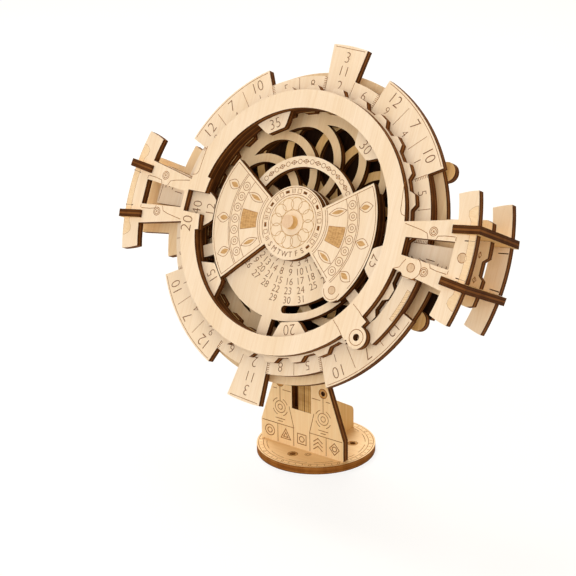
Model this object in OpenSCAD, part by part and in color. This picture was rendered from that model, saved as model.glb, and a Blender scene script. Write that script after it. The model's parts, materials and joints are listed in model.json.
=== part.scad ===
// Perpetual desk calendar, cut from plywood sheet and slotted together.
// Origin: centre of the base on the table. X to the right, Y to the back, Z up.
// The dial pieces are drawn flat, as seen from the front, and stacked along the dial's axle.

/* [Sheet] */
// Thickness of the plywood that every flat piece is cut from
ply_t = 3.3; // [2.8:0.1:3.6]
// Clear space between the faces of two layers that turn past each other
run_gap = 0.2; // [0.15:0.05:0.3]
// Play of a tenon or a lap in its slot
slot_play = 0.1; // [0.05:0.05:0.2]

/* [Dial placement] */
// Angle that the dial leans back, in degrees
lean = 24.7; // [15:0.1:35]
// Height of the dial's centre above the table, at its front face
dial_z = 107.5; // [104:0.5:125]
// Distance of the dial's centre in front of the base's centre, at its front face
dial_y = 18.2; // [14:0.2:22]

/* [Base and stand] */
// Radius of the round base
base_r = 25.7; // [24:0.1:35]
// Radius of the three open holes in the base
base_hole_r = 1.3; // [0.8:0.1:2]
// Radius of the circle that those holes lie on
base_hole_ring_r = 16; // [14:0.5:18]
// Front face of the stand's front plate, in front of the base's centre
plate_y = 10.2; // [9:0.1:12]
// Half width of the front plate at the base
plate_half_w = 21.8; // [18:0.1:22]
// Height of the straight lower sides of the front plate
plate_straight_h = 9.1; // [6:0.1:12]
// Height of the front plate
plate_h = 52; // [46:0.5:56]
// Half width of the front plate at its top
plate_top_half_w = 6.8; // [6.4:0.1:9]
// Height of the foot of the slot above the base
slot_low_h = 18; // [14:0.5:22]
// Height of the head of the slot above the base
slot_top_h = 46; // [38:0.5:48]
// Radius of the small holes near the front plate's shoulders
plate_hole_r = 1.1; // [0.6:0.1:1.6]
// Sideways place of those holes
plate_hole_x = 11.4; // [10.5:0.1:12]
// Height of those holes above the base
plate_hole_h = 28.7; // [26:0.1:30]
// Back of the spine's foot, behind the base's centre
foot_back_y = 21.2; // [17:0.1:22.5]
// Height of the foot's upright back edge
foot_back_h = 8; // [6:0.1:10]
// Height where the foot's slope meets the neck
foot_neck_h = 17.5; // [15:0.1:20]
// Depth of the spine's neck behind the front plate
neck_depth = 12; // [9:0.1:14]

/* [Front frame] */
// Inner radius of the front ring
front_in_r = 46.8; // [45:0.1:48]
// Outer radius of the front ring
front_out_r = 54.4; // [53:0.1:55.5]
// How far the ring thickens inward beside the year slot
slot_pad = 1.8; // [1:0.1:2.4]
// Height of the year slot
year_slot_h = 9.2; // [8:0.1:10]
// Radius that the year slot reaches
year_slot_r = 53.8; // [52:0.1:54]
// Half height of a wing where it leaves the ring
wing_low_half = 8.7; // [8:0.1:10]
// Half height of a wing where it meets its bar
wing_high_half = 14; // [12.5:0.1:15]
// Near end of the window in a wing
window_in_u = 55.8; // [55.6:0.1:60]
// Half height of the window at its near end
window_in_half = 3.5; // [3:0.1:4]
// Half height of the window at its far end
window_out_half = 5.4; // [4.6:0.1:5.8]
// Gap between the month ring's tall tabs and the clips outside them
tab_gap = 1; // [0.7:0.1:2.3]
// Width of the curved bars
bar_w = 8.4; // [7.5:0.1:9]
// Half of the angle that a bar spans, in degrees
bar_half_angle = 17.7; // [15:0.1:20]
// Radius of the shallow arc that ends a bar
bar_end_r = 45; // [30:1:60]
// Radius of the upper ear, which carries the click arm
ear_r = 4.4; // [4:0.1:4.8]
// Radius that the lower lug's block reaches
lug_block_r = 57.3; // [56.5:0.1:58.5]
// Radius of the lug's round end, around its hole
lug_r = 4.5; // [4.2:0.1:5]
// Distance of the lug's hole from the dial's centre
lug_hole_ring_r = 59.2; // [58.5:0.1:60]
// Radius of the lug's hole
lug_hole_r = 1.4; // [1:0.1:2]

/* [Clips] */
// Angle between a clip and the dial's level line, in degrees
clip_angle = 7.4; // [6.5:0.1:8.5]
// How far a clip's arms reach inward past a bar
clip_reach = 1.4; // [0.8:0.1:2]
// How far a clip stands out past a bar
clip_out = 1.9; // [1:0.1:3]
// How far a clip stands proud of the front bar
clip_proud = 1.5; // [0.8:0.1:2.5]
// How far a clip stands proud of the rear bar
clip_tail = 0.5; // [0.4:0.1:2]

/* [Year ring] */
// Inner radius of the year ring
year_in_r = 47.4; // [47:0.1:49]
// Radius at the foot of its waves
year_valley_r = 54.9; // [54:0.1:55.2]
// Radius at the crest of its waves
year_crest_r = 57; // [56.4:0.1:57.1]
// Radius that its number tabs reach inward
year_tab_r = 40.5; // [40.3:0.1:41.5]
// Width of a number tab at its root
year_tab_w = 18.6; // [14:0.1:19]
// Width of a number tab at its end
year_tab_end_w = 10.6; // [8:0.1:11.5]
// Size of the chamfers at its end
year_tab_corner = 1.2; // [0.4:0.1:1.5]

/* [Month wheel] */
// Inner radius of the month ring
month_in_r = 47.6; // [47:0.1:48.5]
// Outer radius of the ring where it has no tab
month_low_r = 61.8; // [60:0.1:63]
// Outer radius of the wide tabs
month_wide_r = 68.9; // [66:0.1:71]
// Outer radius of the tall tabs
month_tall_r = 75.3; // [72:0.1:75.6]
// Outer radius of the date disc
date_r = 39.8; // [39:0.1:40.2]
// Inner radius of the date disc's arch
arch_in_r = 23.8; // [22:0.1:25]
// Outer radius of the date disc's arch
arch_out_r = 28.4; // [27:0.1:30]
// Width of the three spokes that join the date disc to the month ring
spoke_w = 5.2; // [4:0.1:6]
// Radius that the spokes reach
spoke_out_r = 53; // [52:0.1:55]
// Half of the angle of the stop slot, in degrees
stop_slot_half_angle = 42.4; // [40:0.1:46]
// Root radius of the toothed backing ring
tooth_root_r = 51; // [50:0.1:51.6]
// Tip radius of its inward teeth
tooth_tip_r = 47.4; // [46.8:0.1:48.4]
// Outer radius of the backing ring
tooth_ring_out_r = 61; // [59:0.1:62]

/* [Weekday mask] */
// Radius of the round middle with the weekday letters
hub_r = 15.3; // [14:0.1:17]
// Outer radius of the two fans
fan_r = 40.1; // [39:0.1:40.2]
// Radius of the rounded lobe at the right fan's lower end
lobe_r = 4.6; // [4:0.1:5]
// How far inside the date disc's rim the stop peg sits
peg_inset = 4.8; // [4.6:0.1:5.3]

/* [Pins] */
// Radius of the axle
axle_r = 2.2; // [2:0.1:2.6]
// Radius of the cap on the axle's front end
cap_r = 2.8; // [2.7:0.1:3.6]
// Outer radius of the washers on the axle
washer_r = 6.5; // [6:0.1:7]
// Radius of the stop peg
stop_peg_r = 1.5; // [1.3:0.1:1.8]
// Radius of the click arm's pivot pin
pivot_r = 1.6; // [1.2:0.1:1.9]
// Radius of the peg in the right bar
bar_peg_r = 1.8; // [1.3:0.1:2.2]
// Clearance of a pin in a bore that turns on it
pin_play = 0.05; // [0.03:0.01:0.09]
// Clearance of a pin in a bore that holds it
hold_play = 0.02; // [0.01:0.01:0.03]

/* [Click arm] */
// Gap between the click arm and the crests of the year ring's waves
arm_gap = 0.6; // [0.4:0.1:1]
// Width of the click arm
arm_w = 6.6; // [5.5:0.1:7.4]
// Angle where the click arm ends, in degrees below the level line
arm_end_angle = 38; // [34:0.5:40]

/* [Middle and back] */
// Inner radius of the middle frame's ring
middle_in_r = 43; // [42:0.1:44.5]
// Outer radius of the middle frame's ring
middle_out_r = 64.9; // [63:0.1:66]
// How far the paddles at both sides end short of a bar's outer edge
paddle_short = 1.3; // [0.5:0.1:2]
// Size of the chamfers at the right paddle's corners
paddle_corner = 2; // [1:0.1:3]
// How far the left paddle ends short of its clips' outer ends
paddle_left_short = 0.8; // [0.5:0.1:1.5]
// Size of the chamfers at the left paddle's corners
paddle_left_corner = 0.5; // [0.3:0.1:1.5]
// Half height of a paddle at the ring's inner edge
paddle_in_half = 11.1; // [10:0.1:13]
// Half height of a paddle at its end
paddle_out_half = 17; // [15:0.1:18]
// Outer radius of the shoulder beside the left paddle
shoulder_r = 71.8; // [70:0.1:73]
// Depth of the notch in the right paddle's end
notch_depth = 2; // [1.5:0.1:3]
// Width of that notch at its mouth
notch_w = 9; // [7:0.1:10]
// Width of that notch at its floor
notch_floor_w = 5.5; // [3:0.1:6.5]
// How far below the level line the notch is centred
notch_drop = 1.7; // [1:0.1:2.5]
// Number of curved blades in the front swirl and in the counter swirl behind it
blade_count = 14; // [10:1:16]
// Outer radius of a blade's half circle
blade_r = 19.2; // [18.5:0.1:19.8]
// Width of a blade
blade_w = 3.6; // [2.5:0.1:4.5]
// Distance of a front blade's centre from the dial's centre
front_blade_ring_r = 27.3; // [26.5:0.1:28]
// Distance of a counter blade's centre from the dial's centre
counter_blade_ring_r = 32; // [28:0.1:33]
// Radius of the solid middle of the front swirl
front_hub_r = 15; // [14:0.1:17]
// Radius of the solid middle of the counter swirl
counter_hub_r = 17; // [16.8:0.1:18]
// Outer radius of the back plate's ring
back_r = 52; // [50:0.5:56]
// Radius of the round lobes on the back plate's arms
back_lobe_r = 4; // [3.5:0.1:5]
// Distance of those lobes from the dial's centre
back_lobe_ring_r = 65; // [64:0.1:67]
// Radius of the dark bracket disc that the spine carries
bracket_r = 50; // [46:0.5:52]
// Radius that the bracket's short arm reaches, at the lower right
bracket_arm_r = 68; // [66:0.1:70]
// How far below the axle the spine's tenon enters the bracket
bracket_tenon_drop = 13; // [11:0.5:14]
// Length of that tenon along the bracket
bracket_tenon_l = 9; // [7:0.5:10]

/* [Hidden] */

$fn = 96;
birch = "BurlyWood";
dark_birch = "Peru";
overrun = ply_t;
pitch = ply_t + run_gap;

// The stack of layers, as depths behind the dial's front face
year_w = pitch;
month_w = 2 * pitch;
tooth_w = month_w + ply_t;
middle_w = 4 * pitch;
back_w = middle_w + ply_t;
bracket_w = back_w + ply_t;
spine_w = bracket_w + ply_t;
rear_w = 8 * pitch;

left_laps = [0, middle_w];
right_laps = [0, middle_w, rear_w];

// One of the 28 steps of the calendar's cycle, in degrees
step_count = 28;
step_angle = 360 / step_count;
quarter_angle = 360 / 4;
month_start_angle = -10.25;
year_tab_angle = -10.7;
year_tab_steps = [0, 5, 10, 15, 18, 23];
wave_angle = -6.8;
wave_top_share = 0.16;
wave_foot_share = 0.33;
tooth_angle = 140.4;
tooth_tip_share = 0.24;
tooth_root_share = 0.34;

// The two fans and the windows between them, as angles from the right-hand level line
fan_right_angle = [-41, 33];
fan_left_angle = [147.5, 224.5];
arch_gap_angle = [28, 152];
peg_angle = -40.7;
spoke_angle = [-34, -95, -156];
pad_half_angle = 14;
ear_angle = -7.1;
lug_angle = -40.4;
lug_block_angle = [-45.4, -33.5];
bar_in_r = month_tall_r + tab_gap + clip_reach;
bar_out_r = bar_in_r + bar_w;
bar_mid_r = bar_in_r + bar_w / 2;
clip_in_r = bar_in_r - clip_reach;
clip_out_r = bar_out_r + clip_out;
paddle_r = bar_out_r - paddle_short;
paddle_left_r = clip_out_r - paddle_left_short;
shoulder_left_angle = [159.8, 200.2];
back_lobe_angle = [30.3, -24, 149.7, -156];
bracket_arm_angle = [-21.5, -10];
front_blade_angle = 137.1;
counter_blade_angle = 95;
peg_ring_r = date_r - peg_inset;
arm_in_r = year_crest_r + arm_gap;
arm_out_r = arm_in_r + arm_w;
ear_ring_r = arm_in_r + ear_r - run_gap;

wing_in_u = front_out_r - ply_t;
window_out_u = bar_in_r - slot_play * 3;
slot_half_w = 3 * ply_t / 2 + slot_play;
base_tenon_w = 2 * ply_t;
base_tenon_x = plate_half_w / 2;
spine_front_y = ply_t - plate_y;
foot_corner_r = ply_t;
foot_corner_angle = 62;
spine_tenon_y = base_r / 5;
spine_top_v = -washer_r - slot_play - run_gap * 6;
spine_tenon_v = [-bracket_tenon_drop - bracket_tenon_l, -bracket_tenon_drop];
tenon_half_w = ply_t / 2;

// A point of the stand's side view, given by its height on the dial and its depth in the stack
function dial_yz(v, w) = [
    -dial_y + v * sin(lean) + w * cos(lean),
    dial_z + v * cos(lean) - w * sin(lean)];

function polar(r, a) = [r * cos(a), r * sin(a)];

function arc(r, a1, a2, n = 12) = [for (i = [0 : n]) polar(r, a1 + (a2 - a1) * i / n)];

// Places flat children, drawn as seen from the front, on the leaning dial
module on_dial() {
    translate([0, -dial_y, dial_z])
        rotate([90 - lean, 0, 0])
            children();
}

// Cuts a sheet of the given thickness from an outline, at a depth in the stack
module sheet(w, t = ply_t) {
    on_dial()
        translate([0, 0, -w - t])
            linear_extrude(height = t)
                children();
}

// A round pin along the dial's axis between two depths
module dial_pin(r, w1, w2, ring_r = 0, a = 0) {
    on_dial()
        rotate([0, 0, a])
            translate([ring_r, 0, -w2])
                cylinder(r = r, h = w2 - w1);
}

module disc_at(ring_r, a, r) {
    translate(polar(ring_r, a))
        circle(r = r);
}

module annulus(r1, r2) {
    difference() {
        circle(r = r2);
        circle(r = r1);
    }
}

// A piece of an annulus between two angles
module sector(r1, r2, a1, a2) {
    intersection() {
        annulus(r1, r2);
        polygon(concat([[0, 0]], arc(2 * r2, a1, a2)));
    }
}

// A bar along a radius, between two distances from the centre
module spoke(r1, r2, w, a) {
    rotate(a)
        translate([r1, -w / 2])
            square([r2 - r1, w]);
}

module both_sides() {
    for (side = [0, 1])
        mirror([side, 0])
            children();
}

// A slot for a clip, open at the bar's outer edge
module clip_slots() {
    for (s = [-1, 1])
        spoke(bar_mid_r, clip_out_r + overrun, ply_t + 2 * slot_play, s * clip_angle);
}

// A disc whose rim ends a curved bar, above for s = 1 and below for s = -1
module bar_end(s) {
    rotate(s * bar_half_angle)
        translate([bar_mid_r, -s * bar_end_r])
            circle(r = bar_end_r);
}

// A curved bar whose two ends are shallow arcs
module side_bar() {
    difference() {
        intersection() {
            annulus(bar_in_r, bar_out_r);
            bar_end(1);
            bar_end(-1);
        }
        clip_slots();
    }
}

module base_disc() {
    color(birch)
        difference() {
            cylinder(r = base_r, h = ply_t);
            for (a = [-92, 28, 148])
                rotate([0, 0, a])
                    translate([base_hole_ring_r, 0, -overrun])
                        cylinder(r = base_hole_r, h = ply_t + 2 * overrun);
            for (s = [-1, 1])
                translate([s * base_tenon_x - base_tenon_w / 2 - slot_play, -plate_y - slot_play, -overrun])
                    cube([base_tenon_w + 2 * slot_play, ply_t + 2 * slot_play, ply_t + 2 * overrun]);
            translate([-tenon_half_w - slot_play, spine_tenon_y - slot_play, -overrun])
                cube([ply_t + 2 * slot_play, base_tenon_w + 2 * slot_play, ply_t + 2 * overrun]);
        }
}

module stand_front_plate() {
    top = ply_t + plate_h;
    color(birch)
        translate([0, ply_t - plate_y, 0])
            rotate([90, 0, 0])
                linear_extrude(height = ply_t)
                    difference() {
                        union() {
                            polygon([[-plate_half_w, ply_t], [plate_half_w, ply_t],
                                [plate_half_w, ply_t + plate_straight_h], [plate_top_half_w, top],
                                [-plate_top_half_w, top], [-plate_half_w, ply_t + plate_straight_h]]);
                            for (s = [-1, 1])
                                translate([s * base_tenon_x - base_tenon_w / 2, 0])
                                    square([base_tenon_w, 2 * ply_t]);
                        }
                        translate([-slot_half_w, ply_t + slot_low_h])
                            square([2 * slot_half_w, slot_top_h - slot_low_h]);
                        for (s = [-1, 1])
                            translate([s * plate_hole_x, ply_t + plate_hole_h])
                                circle(r = plate_hole_r);
                    }
}

// Side view of the spine: its foot on the base, its neck, and its seat along the bracket
module spine_side() {
    corner_y = foot_back_y - foot_corner_r;
    corner_z = ply_t + foot_back_h;
    neck_y = spine_front_y + neck_depth;
    seat_low_v = (spine_front_y + dial_y - spine_w * cos(lean)) / sin(lean);
    seat_low = dial_yz(seat_low_v, spine_w);
    seat_high = dial_yz(spine_top_v, spine_w);
    head = dial_yz(spine_top_v, spine_w + neck_depth);
    polygon(concat(
        [[spine_front_y, ply_t], [foot_back_y, ply_t]],
        [for (p = arc(foot_corner_r, 0, foot_corner_angle)) [corner_y + p[0], corner_z + p[1]]],
        [[neck_y + ply_t, ply_t + foot_neck_h], [neck_y, ply_t + foot_neck_h + neck_depth / 2],
            [neck_y, ply_t + plate_h - neck_depth], head, seat_high, seat_low]));
}

// Sets a side view upright, centred on a place across the stand
module upright(x) {
    translate([x - ply_t / 2, 0, 0])
        rotate([90, 0, 90])
            linear_extrude(height = ply_t)
                children();
}

// A tongue that fills the front plate's slot and ends flush with its front face
module tongue() {
    translate([-plate_y, ply_t + slot_low_h + slot_play])
        square([ply_t + slot_play, slot_top_h - slot_low_h - 2 * slot_play]);
}

module stand_spine() {
    color(dark_birch)
        upright(0) {
            spine_side();
            tongue();
            translate([spine_tenon_y, 0])
                square([base_tenon_w, 2 * ply_t]);
            polygon([dial_yz(spine_tenon_v[0], bracket_w), dial_yz(spine_tenon_v[0], spine_w + slot_play),
                dial_yz(spine_tenon_v[1], spine_w + slot_play), dial_yz(spine_tenon_v[1], bracket_w)]);
        }
}

module stand_cheek_left() {
    color(dark_birch)
        upright(-ply_t)
            spine_side();
}

module stand_cheek_right() {
    color(dark_birch)
        upright(ply_t) {
            spine_side();
            tongue();
        }
}

// Half of the wings: the right one, with its window, which both_sides() mirrors
module wing() {
    polygon([[wing_in_u, -wing_low_half], [bar_in_r, -wing_high_half],
        [bar_in_r, wing_high_half], [wing_in_u, wing_low_half]]);
}

module wing_window() {
    polygon([[window_in_u, -window_in_half], [window_out_u, -window_out_half],
        [window_out_u, window_out_half], [window_in_u, window_in_half]]);
}

module front_frame() {
    color(birch)
        sheet(0)
            difference() {
                union() {
                    annulus(front_in_r, front_out_r);
                    sector(front_in_r - slot_pad, front_out_r, 180 - pad_half_angle, 180 + pad_half_angle);
                    both_sides() {
                        wing();
                        side_bar();
                    }
                    disc_at(ear_ring_r, ear_angle, ear_r);
                    sector(front_in_r + slot_pad, lug_block_r, lug_block_angle[0], lug_block_angle[1]);
                    disc_at(lug_hole_ring_r, lug_angle, lug_r);
                }
                both_sides()
                    wing_window();
                translate([-year_slot_r, -year_slot_h / 2])
                    square([year_slot_r - year_in_r / 2, year_slot_h]);
                disc_at(ear_ring_r, ear_angle, pivot_r + hold_play);
                disc_at(lug_hole_ring_r, lug_angle, lug_hole_r);
                disc_at(bar_mid_r, 0, bar_peg_r + hold_play);
            }
}

module rear_bar() {
    color(birch)
        sheet(rear_w)
            side_bar();
}

// A clip stands across the layers at the given depths and laps each of them from the outside
module clip(a, laps) {
    end_w = max(laps) + ply_t + clip_tail;
    color(dark_birch)
        on_dial()
            rotate([0, 0, a])
                rotate([90, 0, 0])
                    translate([0, 0, -ply_t / 2])
                        linear_extrude(height = ply_t)
                            difference() {
                                translate([clip_in_r, -end_w])
                                    square([clip_out_r - clip_in_r, end_w + clip_proud]);
                                for (w = laps)
                                    translate([clip_in_r - overrun, -w - ply_t - slot_play])
                                        square([bar_mid_r - clip_in_r + overrun + slot_play,
                                            ply_t + 2 * slot_play]);
                            }
}

module clip_left_upper() {
    clip(180 - clip_angle, left_laps);
}

module clip_left_lower() {
    clip(180 + clip_angle, left_laps);
}

module clip_right_upper() {
    clip(clip_angle, right_laps);
}

module clip_right_lower() {
    clip(-clip_angle, right_laps);
}

// A trapezoid between two radii, the inner one first, each with its share of a step to both sides
module wave(r1, r2, in_share, out_share, a) {
    polygon([polar(r1, a + step_angle * in_share), polar(r1, a - step_angle * in_share),
        polar(r2, a - step_angle * out_share), polar(r2, a + step_angle * out_share)]);
}

// An inward tab for a year number, narrower at its end, with two small chamfers
module year_tab(a) {
    flat = year_tab_end_w / 2 - year_tab_corner;
    rotate(a - 90)
        polygon([[-year_tab_w / 2, year_in_r + run_gap],
            [-year_tab_end_w / 2, year_tab_r + year_tab_corner], [-flat, year_tab_r],
            [flat, year_tab_r], [year_tab_end_w / 2, year_tab_r + year_tab_corner],
            [year_tab_w / 2, year_in_r + run_gap]]);
}

module year_ring() {
    color(birch)
        sheet(year_w) {
            annulus(year_in_r, year_valley_r);
            for (i = [0 : step_count - 1])
                wave(year_valley_r - run_gap, year_crest_r, wave_foot_share, wave_top_share,
                    wave_angle + i * step_angle);
            for (s = year_tab_steps)
                year_tab(year_tab_angle + s * step_angle);
        }
}

// Four equal quarters, each with one tall tab and one wide tab
module month_ring() {
    color(birch)
        sheet(month_w)
            difference() {
                union() {
                    annulus(month_in_r, month_low_r);
                    for (q = [0 : 3]) {
                        a = month_start_angle + q * quarter_angle;
                        sector(month_in_r, month_tall_r, a, a + step_angle);
                        sector(month_in_r, month_wide_r, a + 3 * step_angle, a + 6 * step_angle);
                    }
                }
                for (a = spoke_angle)
                    spoke(date_r, spoke_out_r + slot_play, spoke_w + 2 * slot_play, a);
            }
}

module tooth_ring() {
    color(birch)
        sheet(tooth_w) {
            annulus(tooth_root_r, tooth_ring_out_r);
            for (i = [0 : step_count - 1])
                wave(tooth_tip_r, tooth_root_r + run_gap, tooth_tip_share, tooth_root_share,
                    tooth_angle + i * step_angle);
        }
}

module date_disc() {
    slot_half = stop_peg_r + slot_play;
    color(birch)
        sheet(month_w)
            difference() {
                union() {
                    circle(r = date_r);
                    for (a = spoke_angle)
                        spoke(hub_r, spoke_out_r, spoke_w, a);
                }
                circle(r = axle_r + pin_play);
                sector(arch_out_r, date_r + overrun, arch_gap_angle[0], arch_gap_angle[1]);
                sector(hub_r + run_gap, arch_in_r, arch_gap_angle[0], arch_gap_angle[1]);
                sector(peg_ring_r - slot_half, peg_ring_r + slot_half,
                    peg_angle - stop_slot_half_angle, peg_angle + stop_slot_half_angle);
                for (s = [-1, 1])
                    disc_at(peg_ring_r, peg_angle + s * stop_slot_half_angle, slot_half + slot_play / 2);
            }
}

module weekday_mask() {
    color(birch)
        sheet(year_w)
            difference() {
                union() {
                    circle(r = hub_r);
                    sector(axle_r, fan_r, fan_right_angle[0], fan_right_angle[1]);
                    sector(axle_r, fan_r, fan_left_angle[0], fan_left_angle[1]);
                    disc_at(peg_ring_r, peg_angle, lobe_r);
                }
                circle(r = axle_r + hold_play);
                disc_at(peg_ring_r, peg_angle, stop_peg_r + hold_play);
            }
}

module axle_pin() {
    color(dark_birch)
        dial_pin(axle_r, year_w, spine_w + ply_t);
}

module hub_cap() {
    color(birch)
        dial_pin(cap_r, run_gap, year_w);
}

module hub_spacer() {
    color(dark_birch)
        sheet(tooth_w + run_gap, middle_w - tooth_w - run_gap)
            annulus(axle_r + hold_play, washer_r);
}

module axle_washer() {
    color(dark_birch)
        sheet(spine_w)
            annulus(axle_r + hold_play, washer_r);
}

module fan_stop_peg() {
    color(dark_birch)
        dial_pin(stop_peg_r, year_w, month_w + ply_t, peg_ring_r, peg_angle);
}

// A springy arm outside the year ring; its nose lies just clear of the waves' crests
module click_arm() {
    color(birch)
        sheet(year_w)
            difference() {
                union() {
                    sector(arm_in_r, arm_out_r, -arm_end_angle, ear_angle);
                    disc_at(ear_ring_r, ear_angle, ear_r - run_gap);
                    wave(year_crest_r + run_gap, arm_in_r + run_gap, wave_top_share, wave_foot_share,
                        step_angle / 4 - arm_end_angle);
                }
                disc_at(ear_ring_r, ear_angle, pivot_r + pin_play);
            }
}

module click_pin() {
    color(dark_birch)
        dial_pin(pivot_r, 0, year_w + ply_t - run_gap, ear_ring_r, ear_angle);
}

module bar_peg() {
    color(dark_birch)
        dial_pin(bar_peg_r, 0, ply_t, bar_mid_r);
}

// Half circles that curl clockwise from the ring to the solid hub
module swirl(ring_r, first_angle, middle_r) {
    for (i = [0 : blade_count - 1])
        rotate(first_angle + i * 360 / blade_count)
            intersection() {
                translate([ring_r, 0])
                    annulus(blade_r - blade_w, blade_r);
                translate([0, -2 * blade_r])
                    square([middle_in_r + blade_w, 2 * blade_r]);
            }
    circle(r = middle_r);
}

// A solid arm that ends on an arc, with chamfered corners and clip slots in its end
module paddle(end_r, corner) {
    difference() {
        intersection() {
            polygon([[middle_in_r, -paddle_in_half], [end_r - 2 * corner, -paddle_out_half],
                [end_r - corner / 2, -paddle_out_half + corner / 2],
                [end_r, -clip_in_r * sin(clip_angle)], [end_r, clip_in_r * sin(clip_angle)],
                [end_r - corner / 2, paddle_out_half - corner / 2],
                [end_r - 2 * corner, paddle_out_half], [middle_in_r, paddle_in_half]]);
            annulus(middle_in_r, end_r);
        }
        clip_slots();
    }
}

module paddle_notch() {
    floor_u = paddle_r - notch_depth;
    translate([0, -notch_drop])
        polygon([[floor_u, -notch_floor_w / 2], [paddle_r, -notch_w / 2],
            [paddle_r + overrun, -notch_w / 2], [paddle_r + overrun, notch_w / 2],
            [paddle_r, notch_w / 2], [floor_u, notch_floor_w / 2]]);
}

module middle_frame() {
    color(birch)
        sheet(middle_w)
            difference() {
                union() {
                    annulus(middle_in_r, middle_out_r);
                    paddle(paddle_r, paddle_corner);
                    mirror([1, 0])
                        paddle(paddle_left_r, paddle_left_corner);
                    sector(middle_in_r, shoulder_r, shoulder_left_angle[0], shoulder_left_angle[1]);
                    swirl(front_blade_ring_r, front_blade_angle, front_hub_r);
                }
                paddle_notch();
                circle(r = axle_r + hold_play);
            }
}

module back_plate() {
    color(dark_birch)
        sheet(back_w)
            difference() {
                union() {
                    annulus(middle_in_r, back_r);
                    mirror([0, 1])
                        swirl(counter_blade_ring_r, -counter_blade_angle, counter_hub_r);
                    for (a = back_lobe_angle) {
                        spoke(back_r - overrun, back_lobe_ring_r, 2 * (back_lobe_r - run_gap), a);
                        disc_at(back_lobe_ring_r, a, back_lobe_r);
                    }
                }
                circle(r = axle_r + hold_play);
            }
}

module dial_bracket() {
    color(dark_birch)
        sheet(bracket_w)
            difference() {
                union() {
                    circle(r = bracket_r);
                    sector(bracket_r - overrun, bracket_arm_r, bracket_arm_angle[0], bracket_arm_angle[1]);
                }
                circle(r = axle_r + hold_play);
                translate([-tenon_half_w - slot_play, spine_tenon_v[0] - slot_play])
                    square([ply_t + 2 * slot_play, spine_tenon_v[1] - spine_tenon_v[0] + 2 * slot_play]);
            }
}

base_disc();
stand_front_plate();
stand_spine();
stand_cheek_left();
stand_cheek_right();
front_frame();
middle_frame();
back_plate();
dial_bracket();
rear_bar();
clip_left_upper();
clip_left_lower();
clip_right_upper();
clip_right_lower();
year_ring();
month_ring();
date_disc();
tooth_ring();
weekday_mask();
axle_pin();
hub_cap();
hub_spacer();
axle_washer();
fan_stop_peg();
click_arm();
click_pin();
bar_peg();
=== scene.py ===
# %% [markdown]
# # A plywood calendar with turning dials
# This script dresses a desk calendar that is cut by laser from thin plywood. The solids come
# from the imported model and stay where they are. What they lack is what a laser does to wood:
# pale faces with a fine grain, burnt brown edges, and numbers and lines that are drawn into
# the faces. Each cell below adds one of these.

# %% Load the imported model
import json
import math

import bmesh
import bpy
from mathutils import Matrix, Vector


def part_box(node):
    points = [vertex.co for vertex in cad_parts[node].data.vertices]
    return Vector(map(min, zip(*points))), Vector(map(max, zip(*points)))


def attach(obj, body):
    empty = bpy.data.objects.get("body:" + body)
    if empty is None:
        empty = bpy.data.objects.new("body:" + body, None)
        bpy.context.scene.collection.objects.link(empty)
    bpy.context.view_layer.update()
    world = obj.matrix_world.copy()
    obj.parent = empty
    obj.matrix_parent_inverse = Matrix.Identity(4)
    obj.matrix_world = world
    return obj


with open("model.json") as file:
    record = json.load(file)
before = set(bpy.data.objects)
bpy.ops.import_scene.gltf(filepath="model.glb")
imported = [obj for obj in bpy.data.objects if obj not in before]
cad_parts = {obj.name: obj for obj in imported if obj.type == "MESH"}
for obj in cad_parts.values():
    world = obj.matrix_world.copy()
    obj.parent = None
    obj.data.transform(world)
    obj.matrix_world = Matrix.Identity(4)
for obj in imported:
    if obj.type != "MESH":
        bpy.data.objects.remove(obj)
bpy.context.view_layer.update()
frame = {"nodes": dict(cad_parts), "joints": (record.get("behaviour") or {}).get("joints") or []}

nodes = frame["nodes"]

# %% [markdown]
# ## Where the dial lies
# Every ring of the dial turns about one leaning axle, and the model's joints know that axle.
# Its place and direction give one matrix for each layer: it takes a flat drawing in
# millimetres, as seen by the reader, and lays it on a sheet of the dial. The drawings could
# also be made in their final place, but flat ones are easier to read and to measure.

# %% The dial's axle and its layers
MM = 0.001
SHEET = 3.3
GAP = 0.2
LAYER = SHEET + GAP
YEAR_DEPTH = LAYER
MONTH_DEPTH = 2 * LAYER
TOOTH_DEPTH = MONTH_DEPTH + SHEET
MIDDLE_DEPTH = 4 * LAYER
BACK_DEPTH = MIDDLE_DEPTH + SHEET
BRACKET_DEPTH = BACK_DEPTH + SHEET
SPINE_DEPTH = BRACKET_DEPTH + SHEET
REAR_DEPTH = 8 * LAYER

axle = next(joint for joint in frame["joints"] if joint["name"] == "year_turn")
AXLE_POINT = Vector(axle["pos_m"])
DIAL_FRONT = Vector(axle["axis"]).normalized()
DIAL_UP = DIAL_FRONT.cross(Vector((1, 0, 0))).normalized()
LEAN = math.atan2(DIAL_FRONT.z, -DIAL_FRONT.y)


def dial_layer(depth=0):
    """The matrix from a drawing in millimetres to the dial, at a depth behind its front face."""
    place = Matrix.Translation(AXLE_POINT - DIAL_FRONT * depth * MM)
    lean_back = Matrix.Rotation(math.pi / 2 - LEAN, 4, "X")
    return place @ lean_back @ Matrix.Scale(MM, 4)


print("the dial leans back by", round(math.degrees(LEAN), 1), "degrees")

# %% [markdown]
# ## The camera
# The camera stands to the right of the calendar, a little above the dial's middle. Its place
# could be three coordinates. Two angles and a distance from the point that it looks at are
# easier to change, since that is how one walks round a small object. The lens follows from
# how large the calendar is in the picture.

# %% Set up the camera
PICTURE = 576
CAMERA_TURN = 37.687
CAMERA_RISE = 19.496
CAMERA_ROLL = -0.834
CAMERA_DISTANCE = 654.202
FOCUS_PIXELS = 1541.967
TARGET = Vector((-14.129, 0, 70.825)) * MM
NEAREST, FARTHEST = 0.01, 20


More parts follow.
